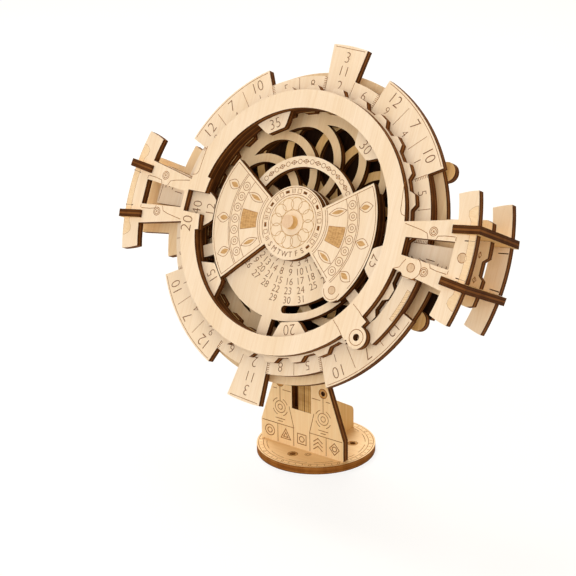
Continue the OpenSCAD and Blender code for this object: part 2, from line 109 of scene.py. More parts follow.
def add_camera():
    """A camera that looks at the target from the turn and rise given above."""
    data = bpy.data.cameras.new("camera")
    data.sensor_fit = "HORIZONTAL"
    data.lens = FOCUS_PIXELS / PICTURE * data.sensor_width
    data.clip_start = NEAREST
    data.clip_end = FARTHEST
    camera = bpy.data.objects.new("camera", data)
    bpy.context.scene.collection.objects.link(camera)
    turn = math.radians(CAMERA_TURN)
    rise = math.radians(CAMERA_RISE)
    back = Vector((math.sin(turn) * math.cos(rise), -math.cos(turn) * math.cos(rise), math.sin(rise)))
    right = Vector((math.cos(turn), math.sin(turn), 0))
    up = back.cross(right)
    roll = math.radians(CAMERA_ROLL)
    rolled_right = right * math.cos(roll) + up * math.sin(roll)
    rolled_up = up * math.cos(roll) - right * math.sin(roll)
    axes = Matrix((rolled_right, rolled_up, back)).transposed().to_4x4()
    camera.matrix_world = Matrix.Translation(TARGET + back * CAMERA_DISTANCE * MM) @ axes
    bpy.context.scene.camera = camera
    return camera


camera = add_camera()
print("the camera stands at", [round(value, 3) for value in camera.matrix_world.translation])

# %% [markdown]
# ## Sky and floor
# The wood has to show its own colour, so the light is plain. More light would make the
# background white, but it would bleach the wood as well. So the background gets its own
# brightness, for the camera alone. The sky is white to look at, but it shines warmly, as
# light does that has been reflected by wood, and the shade between the layers turns golden.
# The floor keeps the calendar's shadow and meets the white sky with hardly a line.

# %% What the camera sees directly
def seen_directly(tree):
    """A value that is 1 for what the camera sees, also in a mirror or through glass."""
    path = tree.nodes.new("ShaderNodeLightPath")
    either = tree.nodes.new("ShaderNodeMath")
    either.operation = "MAXIMUM"
    tree.links.new(path.outputs["Is Camera Ray"], either.inputs[0])
    tree.links.new(path.outputs["Is Glossy Ray"], either.inputs[1])
    any_of = tree.nodes.new("ShaderNodeMath")
    any_of.operation = "MAXIMUM"
    tree.links.new(either.outputs[0], any_of.inputs[0])
    tree.links.new(path.outputs["Is Transmission Ray"], any_of.inputs[1])
    return any_of.outputs[0]


# %% The sky
WHITE = (1, 1, 1, 1)
SKY_LIGHT = 0.46
SKY_WARMTH = (1, 0.76, 0.44, 1)


def white_sky():
    """An even sky that is white to look at and warm as a lamp."""
    world = bpy.data.worlds.new("white_sky")
    bpy.context.scene.world = world
    world.use_nodes = True
    tree = world.node_tree
    tree.nodes.clear()
    lamp = tree.nodes.new("ShaderNodeBackground")
    lamp.inputs["Color"].default_value = SKY_WARMTH
    lamp.inputs["Strength"].default_value = SKY_LIGHT
    view = tree.nodes.new("ShaderNodeBackground")
    view.inputs["Color"].default_value = WHITE
    view.inputs["Strength"].default_value = 1
    mix = tree.nodes.new("ShaderNodeMixShader")
    out = tree.nodes.new("ShaderNodeOutputWorld")
    tree.links.new(seen_directly(tree), mix.inputs["Fac"])
    tree.links.new(lamp.outputs[0], mix.inputs[1])
    tree.links.new(view.outputs[0], mix.inputs[2])
    tree.links.new(mix.outputs[0], out.inputs["Surface"])


white_sky()
print("sky:", bpy.context.scene.world.name, "with a strength of", SKY_LIGHT)

# %% The floor
FLOOR_SIZE = 6
FLOOR_DROP = 0.0001
FLOOR_COLOUR = (0.62, 0.6, 0.56, 1)
FLOOR_GLOW = 1.19
FLOOR_GLOW_SHARE = 0.7


def white_floor():
    """A wide floor that keeps a soft shadow."""
    bpy.ops.mesh.primitive_plane_add(size=FLOOR_SIZE, location=(0, 0, -FLOOR_DROP))
    floor = bpy.context.object
    floor.name = "floor"
    material = bpy.data.materials.new("white_floor")
    material.use_nodes = True
    tree = material.node_tree
    tree.nodes.clear()
    paint = tree.nodes.new("ShaderNodeBsdfDiffuse")
    paint.inputs["Color"].default_value = FLOOR_COLOUR
    glow = tree.nodes.new("ShaderNodeEmission")
    glow.inputs["Color"].default_value = WHITE
    glow.inputs["Strength"].default_value = FLOOR_GLOW
    share = tree.nodes.new("ShaderNodeMath")
    share.operation = "MULTIPLY"
    share.inputs[1].default_value = FLOOR_GLOW_SHARE
    mix = tree.nodes.new("ShaderNodeMixShader")
    out = tree.nodes.new("ShaderNodeOutputMaterial")
    tree.links.new(seen_directly(tree), share.inputs[0])
    tree.links.new(share.outputs[0], mix.inputs["Fac"])
    tree.links.new(paint.outputs[0], mix.inputs[1])
    tree.links.new(glow.outputs[0], mix.inputs[2])
    tree.links.new(mix.outputs[0], out.inputs["Surface"])
    floor.data.materials.append(material)


white_floor()
print("floor:", FLOOR_SIZE, "metres wide")

# %% [markdown]
# ## Lamps
# One large soft lamp stands in front of the leaning dial, a little to the right, and reaches
# its deep layers. Three weaker ones fill the shade with warmer light: one from the right, one
# from above, and a low one in front that reaches the stand below the dial. The last one
# stands behind the dial and reaches the base and the upper edges. Small lamps would draw hard
# lines of shadow between the rings, so all five are wide squares.

# %% Light the scene
WHITE_LIGHT = (1, 1, 1)
FILL_LIGHT = (1, 0.92, 0.78)
# Each lamp has its place and its width in metres, its power in watts and its colour.
LAMPS = {
    "key_lamp": ((0.38, -1.45, 0.8), 1.2, 6.3, WHITE_LIGHT),
    "side_lamp": ((1.3, -0.6, 0.6), 0.8, 3, FILL_LIGHT),
    "top_lamp": ((-0.2, -0.5, 1.6), 0.9, 2.6, FILL_LIGHT),
    "low_lamp": ((-0.4, -1.5, 0.3), 0.9, 4.8, FILL_LIGHT),
    "rear_lamp": ((-0.7, 0.45, 1.3), 0.8, 20, WHITE_LIGHT)}


def soft_lamp(name, place, size, power, colour):
    """A square lamp that faces the dial."""
    data = bpy.data.lights.new(name, "AREA")
    data.size = size
    data.energy = power
    data.color = colour
    lamp = bpy.data.objects.new(name, data)
    bpy.context.scene.collection.objects.link(lamp)
    lamp.location = place
    lamp.rotation_euler = (AXLE_POINT - Vector(place)).to_track_quat("-Z", "Y").to_euler()


for name, (place, size, power, colour) in LAMPS.items():
    soft_lamp(name, place, size, power, colour)
bpy.context.scene.view_settings.view_transform = "Standard"
print("lamps:", [light.name for light in bpy.data.lights])

# %% [markdown]
# ## Plywood faces
# Basswood is cream coloured with a faint, long grain. A picture of wood could be wrapped round
# each sheet, but noise in the sheet's own coordinates has no seams and is sharp at any size.
# A noise texture that is stretched along one direction gives streaks, a finer one gives
# fibres, and a broad one slow changes of tone. The streaks have to follow the sheet, so the
# mapping is turned until its first axis runs along the grain. It is also shifted from board
# to board, so that the sheets differ.

# %% Coordinates and noise
def mapping_of(tree, turn, stretch, shift=(0, 0, 0)):
    """Object coordinates, turned and then stretched for each of the three axes."""
    coordinates = tree.nodes.new("ShaderNodeTexCoord")
    turned = tree.nodes.new("ShaderNodeMapping")
    turned.inputs["Rotation"].default_value = turn
    turned.inputs["Location"].default_value = shift
    stretched = tree.nodes.new("ShaderNodeMapping")
    stretched.inputs["Scale"].default_value = stretch
    tree.links.new(coordinates.outputs["Object"], turned.inputs["Vector"])
    tree.links.new(turned.outputs["Vector"], stretched.inputs["Vector"])
    return stretched


def noise(tree, mapping, detail=2, roughness=0.5):
    """The value of a noise texture that reads the given mapping."""
    node = tree.nodes.new("ShaderNodeTexNoise")
    node.inputs["Scale"].default_value = 1
    node.inputs["Detail"].default_value = detail
    node.inputs["Roughness"].default_value = roughness
    tree.links.new(mapping.outputs["Vector"], node.inputs["Vector"])
    return node.outputs["Fac"]


# %% Colours
def ramp_of(tree, factor, stops):
    """A colour ramp with the given places and colours."""
    ramp = tree.nodes.new("ShaderNodeValToRGB")
    while len(ramp.color_ramp.elements) < len(stops):
        ramp.color_ramp.elements.new(0.5)
    for element, (place, colour) in zip(ramp.color_ramp.elements, stops):
        element.position = place
        element.color = colour
    tree.links.new(factor, ramp.inputs["Fac"])
    return ramp.outputs["Color"]


def multiplied(tree, first, second, share):
    """Two colours multiplied, the second one with the given share."""
    mix = tree.nodes.new("ShaderNodeMix")
    mix.data_type = "RGBA"
    mix.blend_type = "MULTIPLY"
    mix.inputs["Factor"].default_value = share
    tree.links.new(first, mix.inputs["A"])
    tree.links.new(second, mix.inputs["B"])
    return mix.outputs["Result"]


# %% A surface and its bumps
def new_wood(name, roughness, gloss):
    """An empty material with one wood shader, and its node tree."""
    material = bpy.data.materials.new(name)
    material.use_nodes = True
    tree = material.node_tree
    tree.nodes.clear()
    shader = tree.nodes.new("ShaderNodeBsdfPrincipled")
    shader.inputs["Roughness"].default_value = roughness
    shader.inputs["Specular IOR Level"].default_value = gloss
    out = tree.nodes.new("ShaderNodeOutputMaterial")
    tree.links.new(shader.outputs["BSDF"], out.inputs["Surface"])
    return material, tree, shader


def bumped(tree, shader, height, distance, strength):
    """Gives the shader a bump from a height value."""
    bump = tree.nodes.new("ShaderNodeBump")
    bump.inputs["Distance"].default_value = distance
    bump.inputs["Strength"].default_value = strength
    tree.links.new(height, bump.inputs["Height"])
    tree.links.new(bump.outputs["Normal"], shader.inputs["Normal"])


# %% Tones of wood
# Each tone is three colours: a dark streak, the wood between the streaks, and a light one.
PALE = ((0.87, 0.735, 0.60, 1), (0.90, 0.78, 0.655, 1), (0.925, 0.815, 0.705, 1))
SANDED = ((0.91, 0.775, 0.635, 1), (0.935, 0.815, 0.69, 1), (0.955, 0.845, 0.73, 1))
CREAM = ((0.87, 0.67, 0.44, 1), (0.905, 0.72, 0.50, 1), (0.935, 0.765, 0.55, 1))
HONEY = ((0.92, 0.69, 0.43, 1), (0.955, 0.745, 0.49, 1), (0.975, 0.79, 0.545, 1))
GOLDEN = ((0.87, 0.60, 0.325, 1), (0.93, 0.68, 0.395, 1), (0.96, 0.735, 0.46, 1))
# A darker ochre tone that paints the shade on the deep sheets of the dial, on the clips, on the stand's
# spine and on the side of the hub cap.
SHADED_OCHRE = ((0.68, 0.42, 0.165, 1), (0.77, 0.51, 0.225, 1), (0.84, 0.59, 0.30, 1))
GREYED = ((0.62, 0.45, 0.31, 1), (0.70, 0.53, 0.38, 1), (0.75, 0.59, 0.45, 1))
WAXED = ((0.74, 0.55, 0.41, 1), (0.79, 0.61, 0.47, 1), (0.83, 0.66, 0.53, 1))
# A near-black tone, used only for the bracket disc behind the swirls, on both of its faces.
NEAR_BLACK = ((0.012, 0.005, 0.003, 1), (0.02, 0.009, 0.005, 1), (0.03, 0.014, 0.008, 1))
print("nine tones of wood, from", PALE[2][:3], "to", NEAR_BLACK[0][:3])

# %% Make the face material
FACE_ROUGHNESS = 0.62
FACE_GLOSS = 0.22
NEAR_BLACK_GLOSS = 0.02
STREAKS = (14, 900, 900)
FIBRES = (90, 3800, 3800)
PATCHES = (16, 60, 60)
BOARD_SHIFT = (0.137, 0.071, 0.053)
PORE_TINT = (0.94, 0.9, 0.85, 1)
PATCH_TINT = (0.965, 0.935, 0.88, 1)


def plywood_face(name, turn, tones, board=0, gloss=FACE_GLOSS):
    """A face whose grain runs along the first axis of the turned coordinates."""
    dark, middle, light = tones
    material, tree, shader = new_wood(name, FACE_ROUGHNESS, gloss)
    place = [shift * board for shift in BOARD_SHIFT]
    streaks = noise(tree, mapping_of(tree, turn, STREAKS, place), detail=4, roughness=0.6)
    fibres = noise(tree, mapping_of(tree, turn, FIBRES, place))
    patches = noise(tree, mapping_of(tree, turn, PATCHES, place))
    base = ramp_of(tree, streaks, ((0.3, dark), (0.47, middle), (0.68, light)))
    pores = ramp_of(tree, fibres, ((0.3, PORE_TINT), (0.5, WHITE)))
    clouds = ramp_of(tree, patches, ((0.35, PATCH_TINT), (0.62, WHITE)))
    colour = multiplied(tree, base, pores, share=0.7)
    colour = multiplied(tree, colour, clouds, share=1)
    tree.links.new(colour, shader.inputs["Base Color"])
    bumped(tree, shader, fibres, distance=0.00003, strength=0.2)
    return material


# Each of these turns lays the first axis of the coordinates along the grain of some sheets.
LYING_BACK = -(math.pi / 2 - LEAN)
GRAIN_UP_THE_DIAL = (LYING_BACK, 0, math.pi / 2)
GRAIN_UPRIGHT = (0, -math.pi / 2, 0)
GRAIN_ACROSS = (0, 0, 0)
print("fibres:", FIBRES[1], "to the metre across the grain and", FIBRES[0], "along it")

# %% [markdown]
# ## Burnt edges
# The laser leaves a dark brown cut. Across its thickness the three sheets of the plywood
# show: the outer two are darker, the middle one, whose grain runs the other way, is toasted
# lighter, and the glue between them is almost black. So the tone follows the distance from
# the sheet's own front face, and a noise that is dense across the sheet adds fine stripes.
# Real layers could be modelled, but each would be a hair thick, and a ramp shows the same.
# The base's edge is a more even brown, so it has tones and plies of its own.

# %% Tones of a cut
# Each of these is three colours: soot, the outer sheets, and the toasted middle.
BURNT = ((0.04, 0.0125, 0.003, 1), (0.15, 0.053, 0.0125, 1), (0.31, 0.125, 0.033, 1))
RUSTY = ((0.036, 0.0115, 0.0025, 1), (0.11, 0.039, 0.0095, 1), (0.25, 0.10, 0.028, 1))
TOASTED = ((0.50, 0.29, 0.105, 1), (0.66, 0.43, 0.18, 1), (0.76, 0.53, 0.25, 1))
EMBER = ((0.20, 0.08, 0.018, 1), (0.36, 0.14, 0.028, 1), (0.47, 0.21, 0.055, 1))
print("edge tones from", BURNT[0][:3], "to", EMBER[2][:3])

# %% Make the edge material
# Each ply is a place across the sheet, from 0 to 1, and which of the three tones it has.
THREE_PLIES = (
    (0, 0), (0.07, 1), (0.28, 1), (0.34, 0), (0.41, 2),
    (0.59, 2), (0.66, 0), (0.72, 1), (0.93, 1), (1, 0))
BASE_PLIES = ((0, 0), (0.06, 1), (0.2, 2), (0.34, 1), (0.72, 1), (0.84, 2), (0.92, 0), (1, 0))
EDGE_ROUGHNESS = 0.75
EDGE_GLOSS = 0.1
STRIPES = (45, 45, 1400)
SMOKE = (260, 260, 60)
SMOKE_SHIFT = (0.2, 0.5, 0.8)
STRIPE_TINT = (0.55, 0.5, 0.45, 1)
SMOKE_TINT = (0.72, 0.64, 0.56, 1)


def burnt_edge(name, turn, front, tones=BURNT, plies=THREE_PLIES):
    """A cut edge; front is the place of the sheet's front face along the turned third axis."""
    material, tree, shader = new_wood(name, EDGE_ROUGHNESS, EDGE_GLOSS)
    across = mapping_of(tree, turn, (1, 1, -1 / (SHEET * MM)), (0, 0, -front))
    depth = tree.nodes.new("ShaderNodeSeparateXYZ")
    tree.links.new(across.outputs["Vector"], depth.inputs["Vector"])
    sheets = ramp_of(tree, depth.outputs["Z"], [(place, tones[tone]) for place, tone in plies])
    stripes = noise(tree, mapping_of(tree, turn, STRIPES), roughness=0.6)
    smoke = noise(tree, mapping_of(tree, turn, SMOKE, SMOKE_SHIFT), detail=3, roughness=0.6)
    lines = ramp_of(tree, stripes, ((0.34, STRIPE_TINT), (0.62, WHITE)))
    dust = ramp_of(tree, smoke, ((0.35, SMOKE_TINT), (0.6, WHITE)))
    colour = multiplied(tree, sheets, lines, share=0.8)
    colour = multiplied(tree, colour, dust, share=0.9)
    tree.links.new(colour, shader.inputs["Base Color"])
    bumped(tree, shader, stripes, distance=0.0001, strength=0.3)
    return material


# This turn lays the third axis across the sheets of the dial.
LAID_ON_DIAL = (LYING_BACK, 0, 0)
print("the plies of an edge have", len(THREE_PLIES), "stops across", SHEET, "mm")

# %% [markdown]
# ## Face or edge
# A sheet has two broad faces and a narrow cut all round. They could be picked by hand in the
# editor, solid by solid. A rule is shorter and holds for every outline: a polygon that looks
# along the sheet's own normal is a face, and any other is a cut. The mesh itself isn't
# touched, only which of two materials each polygon has.

# %% Tell faces from edges
ACROSS = Vector((1, 0, 0))
DEPTHWISE = Vector((0, 1, 0))
UPWARD = Vector((0, 0, 1))
FACE_LIMIT = 0.9


def round_the_dial(angle):
    """The direction in the dial's plane that is square to a radius at this angle."""
    radians = math.radians(angle)
    return ACROSS * -math.sin(radians) + DIAL_UP * math.cos(radians)


def dress(node, normal, face, edge):
    """Sets a solid's faces and cut edges by the direction of each polygon."""
    mesh = nodes[node].data
    mesh.materials.clear()
    mesh.materials.append(face)
    mesh.materials.append(edge)
    for polygon in mesh.polygons:
        is_face = abs(polygon.normal.dot(normal)) > FACE_LIMIT
        polygon.material_index = 0 if is_face else 1


print("the dial's sheets look along", [round(value, 3) for value in DIAL_FRONT])

# %% Dress the dial
# The deep sheets (tooth ring, hub spacer, back plate and axle washer) get the ochre tone of painted
# shade.
DIAL_SHEETS = {
    "front_frame": (PALE, 0), "year_ring": (SANDED, YEAR_DEPTH),
    "weekday_mask": (PALE, YEAR_DEPTH), "click_arm": (PALE, YEAR_DEPTH),
    "month_ring": (SANDED, MONTH_DEPTH), "date_disc": (SANDED, MONTH_DEPTH),
    "tooth_ring": (SHADED_OCHRE, TOOTH_DEPTH), "hub_spacer": (SHADED_OCHRE, TOOTH_DEPTH + GAP),
    "middle_frame": (CREAM, MIDDLE_DEPTH), "back_plate": (SHADED_OCHRE, BACK_DEPTH),
    "dial_bracket": (NEAR_BLACK, BRACKET_DEPTH), "axle_washer": (SHADED_OCHRE, SPINE_DEPTH),
    "rear_bar": (PALE, REAR_DEPTH)}
PINS = ("axle_pin", "fan_stop_peg", "click_pin", "bar_peg")

for board, (node, (tones, depth)) in enumerate(DIAL_SHEETS.items()):
    gloss = NEAR_BLACK_GLOSS if tones == NEAR_BLACK else FACE_GLOSS
    face = plywood_face("face_" + node, GRAIN_UP_THE_DIAL, tones, board, gloss)
    front = AXLE_POINT.dot(DIAL_FRONT) - depth * MM
    dress(node, DIAL_FRONT, face, burnt_edge("edge_" + node, LAID_ON_DIAL, front))
for node in PINS:
    face = plywood_face("face_" + node, GRAIN_UPRIGHT, GREYED)
    dress(node, DIAL_FRONT, face, face)
# The cap's face is waxed wood. Its side gets the ochre tone, which paints the shade on it.
cap_face = plywood_face("face_hub_cap", GRAIN_UPRIGHT, WAXED)
dress("hub_cap", DIAL_FRONT, cap_face, plywood_face("side_hub_cap", GRAIN_UPRIGHT, SHADED_OCHRE))
print("dressed", len(DIAL_SHEETS), "sheets, a cap and", len(PINS), "pins")

# %% Dress the clips and the stand
CLIP_ANGLE = 7.4
CLIP_SIDES = {
    "clip_left_upper": 180 - CLIP_ANGLE, "clip_left_lower": 180 + CLIP_ANGLE,
    "clip_right_upper": CLIP_ANGLE, "clip_right_lower": -CLIP_ANGLE}
# The left cheek's cut edges get the dark burnt tone as painted shade, since it lies in the shade of the
# slot's left wall; the spine and the right cheek keep a lighter toasted edge.
SPINE_SHEETS = {"stand_spine": TOASTED, "stand_cheek_left": BURNT, "stand_cheek_right": TOASTED}
BASE_BOARD = 3
STANDING = (math.pi / 2, 0, 0)
LYING = (0, 0, 0)

# The clips' faces get the ochre tone of painted shade.
for board, (node, angle) in enumerate(CLIP_SIDES.items()):
    side = round_the_dial(angle)
    face = plywood_face("face_" + node, LAID_ON_DIAL, SHADED_OCHRE, board)
    front = AXLE_POINT.dot(side) + SHEET * MM / 2
    edge = burnt_edge("edge_" + node, (LEAN, math.radians(angle), 0), front, RUSTY)
    dress(node, side, face, edge)
# The faces of the spine's three sheets get the ochre tone of painted shade.
for board, (node, tones) in enumerate(SPINE_SHEETS.items()):
    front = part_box(node)[1][0]
    edge = burnt_edge("edge_" + node, GRAIN_UPRIGHT, front, tones)
    dress(node, ACROSS, plywood_face("face_" + node, GRAIN_UPRIGHT, SHADED_OCHRE, board), edge)
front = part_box("stand_front_plate")[1][1]
edge = burnt_edge("edge_front_plate", STANDING, front)
dress("stand_front_plate", DEPTHWISE, plywood_face("face_front_plate", GRAIN_UPRIGHT, HONEY), edge)
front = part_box("base_disc")[1][2]
edge = burnt_edge("edge_base_disc", LYING, front, EMBER, BASE_PLIES)
dress("base_disc", UPWARD, plywood_face("face_base_disc", GRAIN_ACROSS, GOLDEN, BASE_BOARD), edge)
print("dressed", len(CLIP_SIDES), "clips,", len(SPINE_SHEETS), "upright sheets, the plate and the base")

# %% [markdown]
# ## Drawing with the laser
# The lines and numbers are marks of the same laser at low power. They are drawn here as flat
# strokes, in millimetres on the sheet, and each stroke stands a few hundredths of a
# millimetre out of the wood. So they show from every side and turn with their ring, which a
# picture on the surface wouldn't do. First come the few shapes that all drawings share: a
# line, a closed loop, an arc and a ring.

# %% Lines and arcs
CHORD = 1.3
WIDEST_STEP = 22


def at(radius, angle, centre=(0, 0)):
    """A point at a distance and an angle from a centre."""
    radians = math.radians(angle)
    return (centre[0] + radius * math.cos(radians), centre[1] + radius * math.sin(radians))


def line(*points):
    """An open stroke through the points."""
    return (list(points), False)


def loop(*points):
    """A closed stroke through the points."""
    return (list(points), True)


def arc_points(radius, start, end, centre=(0, 0)):
    """Points along an arc, close enough together to look round."""
    turn = abs(end - start)
    steps = max(2, math.ceil(math.radians(turn) * radius / CHORD), math.ceil(turn / WIDEST_STEP))
    return [at(radius, start + (end - start) * step / steps, centre) for step in range(steps + 1)]


def arc(radius, start, end, centre=(0, 0)):
    """An open arc."""
    return line(*arc_points(radius, start, end, centre))


def ring(radius, centre=(0, 0)):
    """A full circle."""
    return loop(*arc_points(radius, 0, 360, centre)[:-1])


def spoke(inner, outer, angle):
    """A short radial line."""
    return line(at(inner, angle), at(outer, angle))


print("a ring of 20 mm has", len(ring(20)[0]), "points")

# %% Bands, leaves and moved strokes
LEAF_STEPS = 7


def band(inner, outer, start, end):
    """The outline of a piece of a ring."""
    return loop(*arc_points(outer, start, end), *arc_points(inner, end, start))


def leaf(foot, tip, belly):
    """A slender closed leaf from foot to tip; belly is half its greatest width."""
    along = (Vector(tip) - Vector(foot)).to_2d()
    aside = Vector((-along.y, along.x)).normalized() * belly
    points = []
    for side in (1, -1):
        for step in range(LEAF_STEPS):
            share = step / LEAF_STEPS if side == 1 else 1 - step / LEAF_STEPS
            points.append(tuple(Vector(foot) + along * share + aside * side * math.sin(math.pi * share)))
    return loop(*points)


def moved(strokes, turn=0, shift=(0, 0), flip=False):
    """The strokes, flipped top to bottom if asked, then turned, then shifted."""
    result = []
    for points, closed in strokes:
        upright = [(u, -v) if flip else (u, v) for u, v in points]
        turned = [at(math.hypot(u, v), math.degrees(math.atan2(v, u)) + turn) for u, v in upright]
        result.append(([(u + shift[0], v + shift[1]) for u, v in turned], closed))
    return result


print("a leaf has", len(leaf((0, 0), (6, 0), 1)[0]), "points")

# %% [markdown]
# ## Marks of the beam
# A low, quick pass leaves a thin tan line, a slower one a dark number, and a patch that is
# covered line by line turns evenly tan. One flat colour would look like paint. Scorched wood
# is a little uneven, so a noise texture mixes two tones of every ink.

# %% Make the inks
INK_ROUGHNESS = 0.8
INK_GLOSS = 0.1
SPOTS = (500, 1400, 1400)


def scorched(name, light, dark):
    """A matt ink of two brown tones, mixed unevenly."""
    material, tree, shader = new_wood(name, INK_ROUGHNESS, INK_GLOSS)
    spots = noise(tree, mapping_of(tree, LAID_ON_DIAL, SPOTS))
    tone = ramp_of(tree, spots, ((0.38, dark), (0.62, light)))
    tree.links.new(tone, shader.inputs["Base Color"])
    return material


ink_line = scorched("scorched_line", (0.40, 0.19, 0.062, 1), (0.25, 0.10, 0.03, 1))
ink_number = scorched("scorched_number", (0.24, 0.10, 0.033, 1), (0.13, 0.05, 0.016, 1))
ink_tan = scorched("scorched_patch", (0.66, 0.43, 0.21, 1), (0.54, 0.325, 0.145, 1))
ink_gold = scorched("scorched_fine_line", (0.64, 0.42, 0.20, 1), (0.50, 0.30, 0.12, 1))
ink_ember = scorched("scorched_halo", (0.68, 0.40, 0.15, 1), (0.48, 0.24, 0.075, 1))
ink_pale = scorched("scorched_strip", (0.90, 0.74, 0.55, 1), (0.85, 0.67, 0.46, 1))
# A near-black ink for the slits beside the clips, whose burnt walls lie in shade, and for painted shade
# in the stand's joints.
ink_slit_and_shade = scorched("burnt_slit_and_painted_shade", (0.07, 0.026, 0.009, 1), (0.03, 0.011, 0.004, 1))
print("inks:", ink_line.name, ink_number.name, ink_tan.name, ink_slit_and_shade.name)

# %% [markdown]
# ## From a drawing to a piece
# Strokes could be built face by face, but Blender's curves suit a drawing better: a stroke
# gets its width from a bevel, and a closed outline fills itself. Text is a curve as well. All
# three become a mesh while they still lie flat, are welded, and are then laid on their sheet.
# What carries them is named last, so they turn with it.

# %% Turn a drawing into a piece
RISE = 0.035
WELD = 0.0005


def as_mesh(data):
    """A mesh made from a curve or a text."""
    holder = bpy.data.objects.new("drawing", data)
    bpy.context.scene.collection.objects.link(holder)
    graph = bpy.context.evaluated_depsgraph_get()
    mesh = bpy.data.meshes.new_from_object(holder.evaluated_get(graph))
    bpy.data.objects.remove(holder)
    return mesh


def mark(name, shape, place, body, ink):
    """Welds a flat shape, lays it on its sheet and lets it ride on a body."""
    bmesh.ops.remove_doubles(shape, verts=shape.verts, dist=WELD)
    bmesh.ops.recalc_face_normals(shape, faces=shape.faces)
    bmesh.ops.transform(shape, matrix=place, verts=shape.verts)
    mesh = bpy.data.meshes.new(name)
    shape.to_mesh(mesh)
    shape.free()
    mesh.materials.append(ink)
    piece = bpy.data.objects.new(name, mesh)
    bpy.context.scene.collection.objects.link(piece)
    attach(piece, body)
    print(name, len(mesh.polygons), "faces")


# %% Widths of the lines in millimetres
RIM_LINE = 0.16
HATCH_LINE = 0.2
FINE_LINE = 0.24
SEAM_LINE = 0.26
ROUNDEL_LINE = 0.28
JOINT_LINE = 0.3
PLATE_LINE = 0.32
FIGURE_LINE = 0.4
SLIT_LINE = 0.42
print("nine widths of line, from", RIM_LINE, "to", SLIT_LINE, "mm")

# %% Strokes
def add_splines(curve, strokes):
    """Adds each stroke to a curve."""
    for points, closed in strokes:
        spline = curve.splines.new("POLY")
        spline.points.add(len(points) - 1)
        for point, (u, v) in zip(spline.points, points):
            point.co = (u, v, 0, 1)
        spline.use_cyclic_u = closed


def engrave(name, strokes, place, body, width, ink=ink_line):
    """Thin strokes of an even width."""
    curve = bpy.data.curves.new(name, "CURVE")
    curve.dimensions = "2D"
    curve.fill_mode = "NONE"
    curve.bevel_depth = width / 2
    curve.bevel_resolution = 0
    curve.use_fill_caps = True
    add_splines(curve, strokes)
    shape = bmesh.new()
    shape.from_mesh(as_mesh(curve))
    bmesh.ops.scale(shape, vec=(1, 1, 2 * RISE / width), verts=shape.verts)
    mark(name, shape, place, body, ink)


# %% Patches
# A patch lies a little lower than the lines, so that they show where they cross it.
PATCH_RISE = RISE * 0.7


def scorch(name, outlines, place, body, ink=ink_tan):
    """Filled patches; a list of loops is one patch, with holes where the inner loops are."""
    shape = bmesh.new()
    for outline in outlines:
        curve = bpy.data.curves.new(name, "CURVE")
        curve.dimensions = "2D"
        curve.fill_mode = "BOTH"
        curve.extrude = PATCH_RISE
        add_splines(curve, outline if isinstance(outline, list) else [outline])
        shape.from_mesh(as_mesh(curve))
    mark(name, shape, place, body, ink)


print("patches stand", round(PATCH_RISE, 4), "mm out of the wood and lines", RISE, "mm")

# %% Words
DIGIT_SHARE = 0.71
NARROW = 0.92
# How much the strokes of a word are thinned, as a share of its size.
THIN_NUMBER, THIN_DATE, THIN_LETTER = 0.02, 0.012, 0.002


def write(name, words, place, body, thin=THIN_NUMBER):
    """Plain numbers and letters; each word has a middle, a turn and a height."""
    shape = bmesh.new()
    for text, middle, turn, height in words:
        size = height / DIGIT_SHARE
        letters = bpy.data.curves.new(name, "FONT")
        letters.body = text
        letters.size = size
        letters.align_x = "CENTER"
        letters.extrude = RISE
        letters.offset = -thin * size
        letters.resolution_u = 3
        mesh = as_mesh(letters)
        centred = Matrix.Translation((0, -height / 2, 0))
        narrowed = Matrix.Diagonal((NARROW, 1, 1, 1))
        turned = Matrix.Rotation(math.radians(turn), 4, "Z")
        mesh.transform(Matrix.Translation((*middle, 0)) @ turned @ narrowed @ centred)
        shape.from_mesh(mesh)
    mark(name, shape, place, body, ink_number)


def outward(text, radius, angle, height):
    """A word whose top points away from the dial's middle."""
    return (text, at(radius, angle), angle - 90, height)


def inward(text, radius, angle, height):
    """A word whose top points to the dial's middle."""
    return (text, at(radius, angle), angle + 90, height)


print("a digit is", DIGIT_SHARE, "of its font's size high and is narrowed to", NARROW)

# %% [markdown]
# ## The fixed front frame
# The frame at the front carries few marks. Thin seams run across the two wings, four small
# roundels sit beside the windows, and the curved bars have a pale strip along their outer
# edge. The first half of the year number is written on the ring itself, below the slot in
# which the second half appears. The wings are alike, so a seam is drawn once and then turned
# and flipped.

# %% Seams of the front frame
FRONT = dial_layer()
BAR_IN, BAR_OUT = 77.7, 86.1
BAR_MID = (BAR_IN + BAR_OUT) / 2
CLICK_EAR = at(61.8, -7.1)

inner_seam = line((54.3, 8.5), (62, 7.3), (64.7, 6.5), (65.6, 4.5))
outer_seam = line((69, 4.7), (69.6, 6.2), (72.5, 6.8), (77, 7.2))
root_seam = arc(BAR_IN, 4.2, 5.3)
# The ear that carries the click arm takes the place of one inner seam.
seams = []
for turn in (0, 180):
    for flip in (False, True):
        is_ear_side = turn == 0 and flip
        strokes = [outer_seam, root_seam] if is_ear_side else [inner_seam, outer_seam, root_seam]
        seams += moved(strokes, turn, flip=flip)
ring_seam = line((49.4, 24), (50.2, 18), (50.8, 13), (51.6, 11.7), (53.6, 11.2))
ear_seam = line((53.6, -9.4), (56.3, -8.2), (57.3, -6.4), (58.3, -4.8))
ear_foot = line((58, -11.3), (63.5, -11.9), (65.6, -12.4))
ear_rim = arc(4.5, -75, 62, CLICK_EAR)
upper_lug_seam = line((40.2, -26.1), (43.4, -28.2), (45.4, -29.9))
lower_lug_seam = line((32.8, -33.9), (35.9, -36.4), (38.4, -39.1))
seams += [ring_seam, ear_seam, ear_foot, ear_rim, upper_lug_seam, lower_lug_seam]
seams += moved([ring_seam], 180, flip=True)
engrave("frame_seams", seams, FRONT, "frame", SEAM_LINE)

